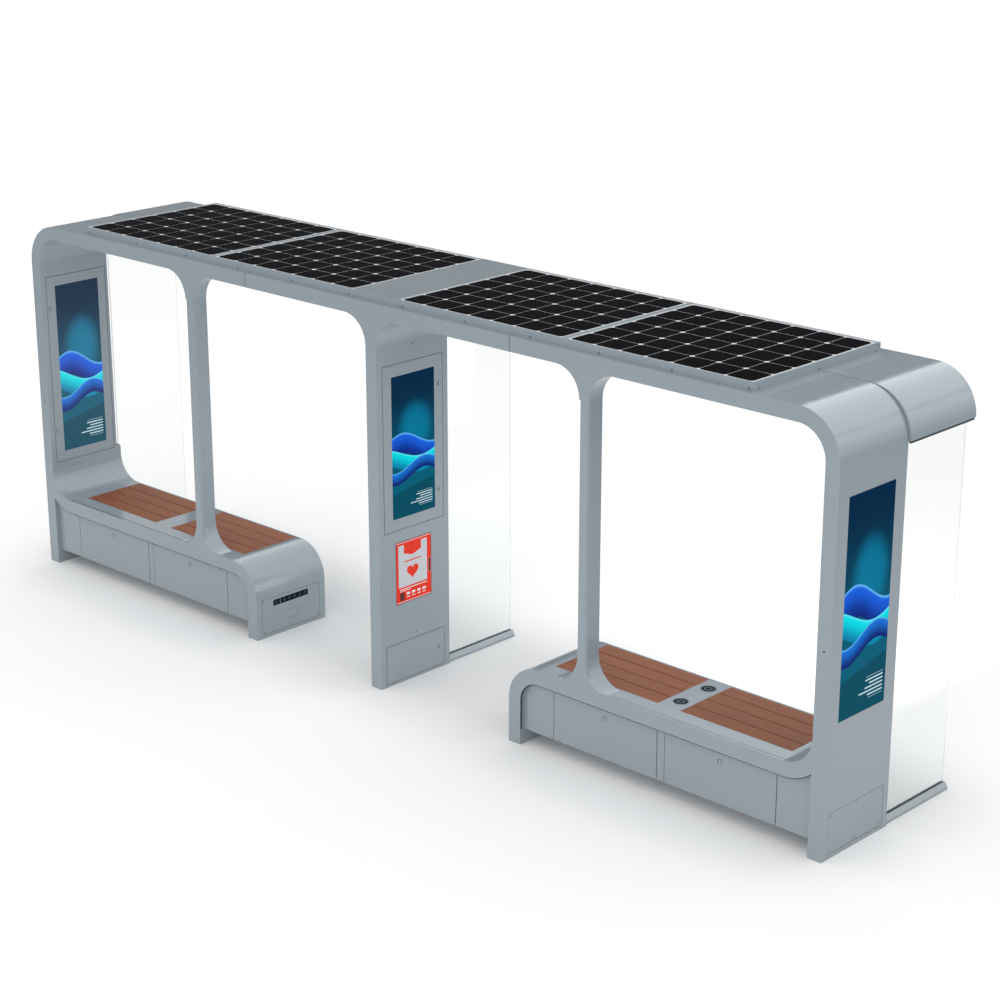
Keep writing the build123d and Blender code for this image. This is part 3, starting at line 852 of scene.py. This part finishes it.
aid_prints_and_highlights = [rect_outline(*bar) for bar in AID_LINES + AID_EDGE_HIGHLIGHTS]
for y in BLOCKS_Y:
    for z in (BLOCK_Z, BLOCK_LINE_Z):
        aid_prints_and_highlights.append(rect_outline((y, y + BLOCK_WIDTH), z))
pull_rim = frame_outlines(grown(PULL[0], PULL_RIM), grown(PULL[1], PULL_RIM), PULL_RIM)
pull_liner = rect_outline(grown(PULL[0], -PULL_PLAY), grown(PULL[1], -PULL_PLAY))
aid_print("first_aid_field", [AID_FIELD], pale_field)
aid_print("first_aid_heart", [heart_outline(*AID_HEART)], red_paint, PRINT_THICKNESS)
aid_print("first_aid_caption", [rect_outline(*AID_CAPTION)], red_bar, PRINT_THICKNESS)
aid_print("first_aid_prints_and_highlights", aid_prints_and_highlights, white_print_and_highlight)
aid_print("first_aid_plate", [rect_outline(*AID_PLATE)], dark_plate)
aid_print("pull_rim", pull_rim, pink_rim)
aid_print("pull_liner", [pull_liner], slot_dark, -PULL_LINER)


# Bench ends: plain rings and dots and a divider on the status strips, and bare label plates below them

ICON_RING = ((9.5, 0.0), (9.5, 0.25), (7.0, 0.25), (7.0, 0.0))
ICON_DOT = ((3.4, 0.0), (3.4, 0.25), (0.3, 0.25))
ICON_Z = 200
ICONS_Y = (150, 212, 252, 292, 332, 372)
DIVIDER = ((179, 182), (186, 214))
LABEL_Y = (206, 318)
LABEL_Z = (72, 127)
LABEL_DEPTH = 0.8
LABEL_RIM = 2.2
LABEL_PLAY = 0.4
LABEL_INSET = 3
LABEL_THICKNESS = 0.5
LABEL_RIM_HEIGHT = 0.6

for side, sign in SIDES:
    face = (sign * BENCH_END, -sign)
    marks = bmesh.new()
    for y in ICONS_Y:
        center = Vector((sign * BENCH_END, FRONT + y * MM, ICON_Z * MM))
        add_turned(marks, center, (-sign, 0, 0), scaled_profile(ICON_RING), 24, ring=True)
        add_turned(marks, center, (-sign, 0, 0), scaled_profile(ICON_DOT), 12)
    placed(f"{side}_strip_marks", marks, icon_blue)
    plates(f"{side}_strip_divider", [rect_outline(*DIVIDER)], *face, divider)
    plate = rect_outline(grown(LABEL_Y, -LABEL_INSET), grown(LABEL_Z, -LABEL_INSET))
    plates(f"{side}_label_plate", [plate], *face, paint, base=-LABEL_DEPTH, thickness=LABEL_THICKNESS)
    rim = frame_outlines(grown(LABEL_Y, -LABEL_PLAY), grown(LABEL_Z, -LABEL_PLAY), LABEL_RIM)
    plates(f"{side}_label_rim", rim, *face, gasket_rubber_and_painted_light, base=-LABEL_DEPTH, thickness=LABEL_RIM_HEIGHT)


# Gaskets in the gaps round the screwed covers

COVER_GASKET = 1.4
COVER_PLAY = 0.3
COVER_GASKET_BASE = -2.8
COVER_GASKET_HEIGHT = 2.2


def cover_gasket(name, covers, face_x, outward):
    y, z = drawn_spans(covers)
    reach = COVER_PLAY + COVER_GASKET
    gap = frame_outlines(grown(y, reach), grown(z, reach), COVER_GASKET)
    plates(name, gap, face_x, outward, dark_trim_and_painted_shade, base=COVER_GASKET_BASE, thickness=COVER_GASKET_HEIGHT)


for side, sign in SIDES:
    cover_gasket(f"{side}_bench_cover_gasket", "bench_end_covers", sign * BENCH_END, -sign)
    cover_gasket(f"{side}_wall_cover_gasket", "wall_covers", sign * END_FACE, sign)


# Screws. x is given in metres, y from the front plane and z in millimetres.

SCREW = ((4.6, 0.0), (4.6, 0.5), (3.6, 0.9), (2.2, 0.9), (1.8, 0.2), (0.2, 0.2))
SMALL_SCREW = 0.8
TRAY_FRONT_SCREWS_X = mm(204, 654, 1104, 1553, 2003, 2454)
TRAY_FRONT_SCREW_Z = 2187
TRAY_END_SCREWS_Y = (81, 537, 993)
TRAY_END_SCREW_Z = 2186
WALL_COVER_SCREWS = ((60, 219), (266, 224), (471, 219), (471, 41), (266, 35), (60, 41))
BENCH_COVER_SCREWS = ((52, 224), (475, 224), (475, 34), (263, 33), (52, 34))
PILLAR_PLUGS = ((268, 1918), (269, 269))


def screws(name, places, normal, size=1.0):
    mesh = bmesh.new()
    for x, y, z in places:
        add_turned(mesh, (x, FRONT + y * MM, z * MM), normal, scaled_profile(SCREW, size), 16)
    placed(name, mesh, screw_steel)


tray_front_y = (tray_low.y - FRONT) / MM
tray_places = [(sign * x, tray_front_y, TRAY_FRONT_SCREW_Z) for sign in (-1, 1) for x in TRAY_FRONT_SCREWS_X]
screws("tray_front_screws", tray_places, (0, -1, 0))
for side, sign in SIDES:
    places = [(sign * tray_high.x, y, TRAY_END_SCREW_Z) for y in TRAY_END_SCREWS_Y]
    screws(f"{side}_tray_end_screws", places, (sign, 0, 0))
    places = [(sign * END_FACE, y, z) for y, z in WALL_COVER_SCREWS]
    screws(f"{side}_wall_cover_screws", places, (sign, 0, 0), SMALL_SCREW)
    places = [(sign * BENCH_END, y, z) for y, z in BENCH_COVER_SCREWS]
    screws(f"{side}_bench_cover_screws", places, (-sign, 0, 0), SMALL_SCREW)
screws("pillar_plugs", [(PILLAR_FACE, y, z) for y, z in PILLAR_PLUGS], (1, 0, 0))


# Seals and trims of the benches, the roof and the rails, with strips of painted shadow and painted reflection
# on the benches

def arc(center, radius, start, end, steps, outward=1):
    """Points of an arc between two angles, each with the direction in which a strip rises from it."""
    path = []
    for i in range(steps + 1):
        angle = start + (end - start) * i / steps
        out = (math.cos(angle), math.sin(angle))
        point = (center[0] + radius * out[0], center[1] + radius * out[1])
        path.append((point, (outward * out[0], outward * out[1])))
    return path


def swept_strip(name, path, sign, y, rise):
    """Dark strip along a path in the plane of x and z, mirrored by its sign."""
    section = ((y[0], rise[0]), (y[0], rise[1]), (y[1], rise[1]), (y[1], rise[0]))
    mesh = bmesh.new()
    rows = []
    for (x, z), (out_x, out_z) in path:
        rows.append([
            mesh.verts.new((sign * (x + out_x * lift), FRONT + depth, z + out_z * lift))
            for depth, lift in section
        ])
    for near, far in zip(rows, rows[1:]):
        for i in range(4):
            mesh.faces.new((near[i], near[(i + 1) % 4], far[(i + 1) % 4], far[i]))
    mesh.faces.new(rows[0])
    mesh.faces.new(rows[-1])
    placed(name, mesh, dark_trim_and_painted_shade)


# Painted shadow: a dark strip along the ribbon's lower edge, just behind its front face
RIBBON_SHADOW_Y = mm(3, 9)
RIBBON_SHADOW_RISE = mm(-0.5, 4.8)
RIBBON_SHADOW_START = BOX_FLOOR_GAP + 3 * MM


def ribbon_shadow_strip(side, sign):
    """Dark strip of painted shadow under the bench's ribbon, over the storage box, from the foot up to the
    wall.
    """
    foot = (BENCH_END + RIBBON, RIBBON_SHADOW_START)
    free_end = (BENCH_END + BENCH_RADIUS, SEAT - BENCH_RADIUS)
    tip = math.acos(INNER_RADIUS / OUTER_RADIUS)
    path = [(foot, (1, 0))]
    path += arc(free_end, BENCH_RADIUS - RIBBON, math.pi, math.pi / 2, 12, outward=-1)
    path += arc((CORNER_X, SEAT_CURVE_Z), OUTER_RADIUS, -math.pi / 2, -tip, 12)
    swept_strip(f"{side}_ribbon_shadow_strip", path, sign, RIBBON_SHADOW_Y, RIBBON_SHADOW_RISE)


ROOF_SEAL_Y = (FRAME_DEPTH - 1.8 * MM, FRAME_DEPTH + 0.7 * MM)
ROOF_SEAL_RISE = mm(-0.5, 0.5)
ROOF_SEAL_START = tray_high.x + 2 * MM


def roof_seam(side, sign):
    """Thin seal in the joint between the front band and the rear hood, from the tray down to the wall."""
    path = [((ROOF_SEAL_START, ROOF), (0, 1))]
    path += arc((CORNER_X, ROOF_CURVE_Z), OUTER_RADIUS, math.pi / 2, 0.0, 24)
    swept_strip(f"{side}_roof_seal", path, sign, ROOF_SEAL_Y, ROOF_SEAL_RISE)


# Painted reflection line on the seat near its front edge
SEAT_LINE_X = mm(1676, 2767)
SEAT_LINE_Y = mm(14.5, 19)
SEAT_LINE_Z = mm(-1, 0.6)


def seat_reflection_line(side, sign, material):
    """Narrow strip on the seat near its front edge: painted reflection of a rounded front edge, dark on the
    left bench and paler on the right.
    """
    mesh = bmesh.new()
    x = [sign * value for value in SEAT_LINE_X]
    add_bar(mesh, x, [FRONT + value for value in SEAT_LINE_Y], [SEAT + value for value in SEAT_LINE_Z])
    placed(f"{side}_seat_reflection_line", mesh, material)


SPACER_HALF_WIDTH = 2.9 * MM
SPACER_Z = mm(-20, -3.5)


def board_spacers_and_shade(side):
    """Dark rubber in the joints between the boards, which also paints the shade in the gaps."""
    low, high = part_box(f"{side}_bench_slats")
    pitch = (high.y - low.y + BOARD_GAP) / BOARDS
    middle = (low.x + high.x) / 2
    mesh = bmesh.new()
    for number in range(1, BOARDS):
        y = low.y + number * pitch - BOARD_GAP / 2
        for x in ((low.x, middle - PAD_BAND / 2), (middle + PAD_BAND / 2, high.x)):
            add_bar(mesh, x, grown((y, y), SPACER_HALF_WIDTH), [SEAT + value for value in SPACER_Z])
    placed(f"{side}_board_spacers_and_shade", mesh, spacer_rubber_and_gap_shade)


# Tip of the bench's upward curve against the wall, as in the solids
TIP_WIDTH = 4 * MM
TIP_HEIGHT = 40 * MM
TIP_DROP = 35.5 * MM


def curve_filler(side, sign):
    """Filler that carries the bench's upward curve smoothly on into the wall."""
    foot_z = SEAT_CURVE_Z - TIP_HEIGHT
    start = math.asin(-TIP_DROP / INNER_RADIUS)
    curve = arc((CORNER_X, SEAT_CURVE_Z), INNER_RADIUS, start, 0.0, 10)
    outline = [(WALL_FACE, foot_z), (WALL_FACE - TIP_WIDTH, foot_z)] + [point for point, out in curve]
    mesh = bmesh.new()
    add_plate(mesh, outline, lambda a, b, h: (sign * a, FRONT + h, b), FRAME_DEPTH)
    placed(f"{side}_curve_filler", mesh, paint)


LIP_X = (END_FACE + 1 * MM, hood_high.x - 0.5 * MM)
LIP_Y = (hood_low.y + 1.2 * MM, hood_high.y - 12 * MM)
LIP_HEIGHT = 11 * MM
LIP_EDGE = 1.0 * MM


def hood_lip(side, sign):
    """Dark drip edge under the skirt of the hood."""
    mesh = bmesh.new()
    add_bar(mesh, [sign * value for value in LIP_X], LIP_Y, (hood_low.z - LIP_HEIGHT, hood_low.z))
    placed(f"{side}_hood_lip", mesh, dark_trim_and_painted_shade, edge=LIP_EDGE)


RAIL_GASKET_X = mm(6.1, 11.5)
RAIL_GASKET_Y = (glass_low.y + 1 * MM, glass_high.y + 2 * MM)
RAIL_GASKET_Z = (RAIL_TOP - 0.5 * MM, RAIL_TOP + 1.5 * MM)


def rail_gaskets():
    """Rubber on both sides of each glass panel, on top of its rail."""
    mesh = bmesh.new()
    for middle in (-WALL_MIDDLE, 0, WALL_MIDDLE):
        for sign in (-1, 1):
            x = [middle + sign * value for value in RAIL_GASKET_X]
            add_bar(mesh, x, RAIL_GASKET_Y, RAIL_GASKET_Z)
    placed("rail_gaskets", mesh, dark_trim_and_painted_shade)


# The seat lines are painted reflection, dark on the left bench and paler on the right
for side, sign, seat_line_tone in (("left", -1, dark_trim_and_painted_shade), ("right", 1, gasket_rubber_and_painted_light)):
    ribbon_shadow_strip(side, sign)
    seat_reflection_line(side, sign, seat_line_tone)
    board_spacers_and_shade(side)
    curve_filler(side, sign)
    roof_seam(side, sign)
    hood_lip(side, sign)
rail_gaskets()


# Solar cells on both trays

CELL_PITCH = 158.75 * MM
CELL_SIDE = 155.6 * MM
CELL_CORNER = 14 * MM
CELL_THICKNESS = 0.4 * MM
CELL_COLUMNS = 7
CELL_ROWS = 6
FIELD_Y = 529 * MM
PANEL_JOINT = 17 * MM
WHITE_BORDER = 6 * MM
FRAME_BELOW = 1 * MM
FRAME_HEIGHT = 1.2 * MM
FRAME_EDGE = 0.3 * MM


def cell_outline():
    """A square with cut corners."""
    half = CELL_SIDE / 2
    cut = half - CELL_CORNER
    return (
        (-half, -cut), (-cut, -half), (cut, -half), (half, -cut),
        (half, cut), (cut, half), (-cut, half), (-half, cut),
    )


def cell_field(side):
    """Cells of the two panels of one side, and the frames round them."""
    low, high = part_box(f"{side}_solar_panels")
    width = (high.x - low.x - PANEL_JOINT) / 2
    field_y = FRONT + FIELD_Y
    reach_x = CELL_COLUMNS * CELL_PITCH / 2 + WHITE_BORDER
    reach_y = CELL_ROWS * CELL_PITCH / 2 + WHITE_BORDER
    inner_y = grown((field_y, field_y), reach_y)
    frame_z = (high.z - FRAME_BELOW, high.z + FRAME_HEIGHT)
    cells = bmesh.new()
    frames = bmesh.new()
    for middle in (low.x + width / 2, high.x - width / 2):
        for column in range(CELL_COLUMNS):
            for row in range(CELL_ROWS):
                x = middle + (column - (CELL_COLUMNS - 1) / 2) * CELL_PITCH
                y = field_y + (row - (CELL_ROWS - 1) / 2) * CELL_PITCH
                add_plate(cells, cell_outline(), lambda a, b, h: (x + a, y + b, high.z + h), CELL_THICKNESS)
        panel_x, inner_x = grown((middle, middle), width / 2), grown((middle, middle), reach_x)
        for x in ((panel_x[0], inner_x[0]), (inner_x[1], panel_x[1])):
            add_bar(frames, x, (low.y, high.y), frame_z)
        for y in ((low.y, inner_y[0]), (inner_y[1], high.y)):
            add_bar(frames, inner_x, y, frame_z)
    placed(f"{side}_solar_cells", cells, cell)
    placed(f"{side}_panel_frames", frames, panel_frame, edge=FRAME_EDGE)


cell_field("left")
cell_field("right")


# Stage: floor, world, reflected surroundings, lamps and camera

FLOOR_HALF = 90.0
FLOOR_DROP = 0.5 * MM
# Inset and reach of the floor's glow, which is painted light: none near the shelter, full a little way out
SHADOW_INSET = 0.25
BACKDROP_REACH = 0.75
BACKDROP_GLOW = 0.19


def looked_at(tree):
    """1 for what the camera sees, also in gloss or through glass, and 0 for what lights the object."""
    light = add(tree, "LightPath").outputs
    seen = maths(tree, "MAXIMUM", light["Is Camera Ray"], light["Is Glossy Ray"])
    return maths(tree, "MAXIMUM", seen, light["Is Transmission Ray"])


def staged(name, mesh, material):
    """Make a stage object from a bmesh."""
    piece = linked(name, mesh, material)
    return piece


def pale_floor():
    """Pale floor that keeps the object's shadow and turns white a little way off. Its glow for what the
    camera sees is painted light: none near the shelter and full a little way out, so the floor round the
    shelter stays darker.
    """
    material, tree, shader = new_material("pale_floor")
    shader.inputs["Base Color"].default_value = (0.97, 0.97, 0.97, 1.0)
    shader.inputs["Roughness"].default_value = 0.9
    shader.inputs["Specular IOR Level"].default_value = 0.0
    shader.inputs["Emission Color"].default_value = (1.0, 1.0, 1.0, 1.0)
    place = split(tree, object_point(tree))
    away = []
    for axis, half in (("X", END_FACE), ("Y", -FRONT)):
        over = maths(tree, "SUBTRACT", maths(tree, "ABSOLUTE", place[axis]), half - SHADOW_INSET)
        away.append(maths(tree, "MAXIMUM", over, 0.0))
    backdrop = ranged(tree, length_of(tree, *away), 0.0, BACKDROP_REACH, 0.0, BACKDROP_GLOW, smooth=True)
    feed(tree, shader.inputs["Emission Strength"], maths(tree, "MULTIPLY", looked_at(tree), backdrop))
    return material


def floor():
    mesh = bmesh.new()
    edge = (-FLOOR_HALF, FLOOR_HALF)
    mesh.faces.new([mesh.verts.new((x, y, -FLOOR_DROP)) for x, y in rect_outline(edge, edge)])
    staged("floor", mesh, pale_floor())


SKY_STRENGTH = 0.86


def world():
    """White where it is seen, and a little darker where it lights the object."""
    surroundings = bpy.data.worlds.new("studio")
    scene.world = surroundings
    surroundings.use_nodes = True
    tree = surroundings.node_tree
    back = tree.nodes["Background"]
    feed(tree, back.inputs["Strength"], ranged(tree, looked_at(tree), 0.0, 1.0, SKY_STRENGTH, 1.0))
    back.inputs["Color"].default_value = (1.0, 1.0, 1.0, 1.0)


RING_SEGMENTS = 96


def studio_ring(name, steps, material, arc_degrees=(0.0, 360.0)):
    """A ring or canopy round the studio, seen only in reflections."""
    angles = [math.radians(share(arc_degrees, i / RING_SEGMENTS)) for i in range(RING_SEGMENTS + 1)]
    mesh = bmesh.new()
    rings = []
    for radius, z in steps:
        rings.append([mesh.verts.new((radius * math.cos(a), radius * math.sin(a), z)) for a in angles])
    for low, high in zip(rings, rings[1:]):
        for i in range(RING_SEGMENTS):
            mesh.faces.new((low[i], low[i + 1], high[i + 1], high[i]))
    ring = staged(name, mesh, material)
    for ray in ("camera", "diffuse", "transmission", "volume_scatter", "shadow"):
        setattr(ring, "visible_" + ray, False)


def lit(name, color=(1.0, 1.0, 1.0, 1.0)):
    """A black material that only glows, still without a strength."""
    material, tree, shader = new_material(name)
    shader.inputs["Base Color"].default_value = (0.0, 0.0, 0.0, 1.0)
    shader.inputs["Specular IOR Level"].default_value = 0.0
    shader.inputs["Emission Color"].default_value = color
    return material, tree, shader.inputs["Emission Strength"]


def soft_light(name, color, strength):
    material, tree, glow = lit(name, color)
    glow.default_value = strength
    return material


def graded_light(name, color, heights, strengths):
    """Light that changes from one strength to another between two heights."""
    material, tree, glow = lit(name, color)
    height = split(tree, object_point(tree))["Z"]
    feed(tree, glow, ranged(tree, height, *heights, *strengths, smooth=True))
    return material


# Distances from the middle over which the far floor's card fades, with its strengths there
CARD_NEAR = (4.0, 8.5)
CARD_NEAR_GLOW = (0.85, 0.16)
CARD_FAR = (12.0, 38.0)
CARD_FAR_GLOW = (0.0, 0.9)


def far_floor():
    """Grey card on the far floor, which fades out towards the shelter and towards the horizon."""
    material, tree, glow = lit("far_floor")
    place = split(tree, object_point(tree))
    distance = length_of(tree, place["X"], place["Y"])
    near = ranged(tree, distance, *CARD_NEAR, *CARD_NEAR_GLOW, smooth=True)
    far = ranged(tree, distance, *CARD_FAR, *CARD_FAR_GLOW, smooth=True)
    feed(tree, glow, maths(tree, "ADD", near, far))
    return material


def softbox(name, location, target, size, power):
    data = bpy.data.lights.new(name, "AREA")
    data.shape = "RECTANGLE"
    data.size, data.size_y = size
    data.energy = power
    lamp = bpy.data.objects.new(name, data)
    lamp.location = location
    lamp.rotation_euler = (Vector(target) - Vector(location)).to_track_quat("-Z", "Y").to_euler()
    lamp.visible_glossy = False
    scene.collection.objects.link(lamp)


# Camera, fitted to the photograph's viewing angle
EYE = (8.543, -8.562, 5.033)
DOWNWARD = 18.603
TURN = 43.478
LENS = 82.81


def camera():
    data = bpy.data.cameras.new("camera")
    data.sensor_width = 36.0
    data.lens = LENS
    data.clip_end = 400.0
    eye = bpy.data.objects.new("camera", data)
    eye.location = EYE
    eye.rotation_euler = (math.radians(90 - DOWNWARD), 0.0, math.radians(TURN))
    scene.collection.objects.link(eye)
    scene.camera = eye


WHITE = (1.0, 1.0, 1.0, 1.0)
COOL = (0.93, 0.99, 1.0, 1.0)
RING_RADIUS = 40.0
STRIP_RADIUS = 39.0
FLAG_TOP = 18.9
STRIP_ARC = (28.0, 68.0)
FLAG_GLOW = 0.18
CANOPY_GLOW = 2.95
KEY_POWER = 760.0
FILL_POWER = 18.0

floor()
world()
far_steps = ((4.0, 0.02), (20.0, 0.1), (RING_RADIUS, 0.8))
flag_steps = ((RING_RADIUS, 0.8), (RING_RADIUS, FLAG_TOP))
canopy_steps = ((RING_RADIUS, FLAG_TOP), (32.0, 28.0), (14.0, 42.0))
strip_steps = ((STRIP_RADIUS, 0.9), (STRIP_RADIUS, 17.6))
strip_light = graded_light("strip_light", COOL, (1.0, 14.0), (1.0, 2.5))
studio_ring("far_floor", far_steps, far_floor())
studio_ring("ring_flag", flag_steps, soft_light("flag_dark", WHITE, FLAG_GLOW))
studio_ring("canopy", canopy_steps, soft_light("canopy_light", COOL, CANOPY_GLOW))
studio_ring("low_strip", strip_steps, strip_light, STRIP_ARC)
softbox("key_softbox", (12.0, -22.0, 6.0), (0.0, -0.27, 1.1), (10.0, 6.0), KEY_POWER)
softbox("fill_softbox", (2.3, 1.9, 1.2), (0.0, 1.9, 1.2), (1.4, 1.6), FILL_POWER)
camera()
scene.view_settings.view_transform = "Standard"
